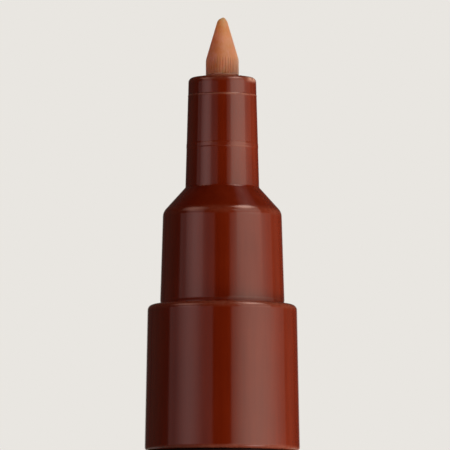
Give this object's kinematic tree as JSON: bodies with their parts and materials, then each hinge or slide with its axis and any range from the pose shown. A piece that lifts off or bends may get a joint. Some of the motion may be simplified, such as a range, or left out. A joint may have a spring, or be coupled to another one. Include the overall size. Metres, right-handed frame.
{
  "type": "paint marker",
  "caption": "Round paint marker with a stepped nose, a conical fibre nib that opens a sprung valve when pressed, a loose mixing ball and a push-on cap posted on its tail.",
  "frame": {"origin": "on the marker's axis, in the plane of the cap's foot that it stands on", "axes": "+Z along the marker's axis, from the posted cap up to the nib; the marker is round, so +X and +Y are free"},
  "size_m": [0.013, 0.013, 0.1541],
  "materials": {
    "brown_plastic": "injection moulded, semi-gloss, dark red-brown",
    "black_plastic": "injection moulded, satin black",
    "nib_fibre": "bonded fibre, fluted and ground, stained by paint",
    "natural_plastic": "undyed moulded plastic",
    "liner_plastic": "soft undyed moulded plastic",
    "seal_rubber": "moulded black rubber",
    "spring_wire": "drawn stainless wire",
    "ball_steel": "polished steel"
  },
  "bodies": {
    "marker": {"nose": "brown_plastic", "nib_guide": "brown_plastic", "collar": "brown_plastic", "front_seal": "seal_rubber", "barrel": "black_plastic", "tail_plug": "brown_plastic", "tail_seal": "seal_rubber", "valve_seat": "seal_rubber", "valve_housing": "natural_plastic", "valve_spring": "spring_wire"},
    "plunger": {"nib": "nib_fibre", "valve_stem": "natural_plastic"},
    "ball": {"mixing_ball": "ball_steel"},
    "cap_assembly": {"cap": "brown_plastic", "cap_liner": "liner_plastic"}
  },
  "joints": [
    {"name": "nib_press", "type": "slide", "parent": "marker", "child": "plunger", "axis": [0, 0, -1], "range_m": [0, 0.0025], "stiffness_N_per_m": 400, "springref_m": -0.002, "deforming": ["valve_spring"]},
    {"name": "ball_rattle", "type": "slide", "parent": "marker", "child": "ball", "axis": [0, 0, 1], "range_m": [0, 0.0991]},
    {"name": "cap_pull", "type": "slide", "parent": "marker", "child": "cap_assembly", "axis": [0, 0, -1], "range_m": [0, 0.015]}
  ]
}
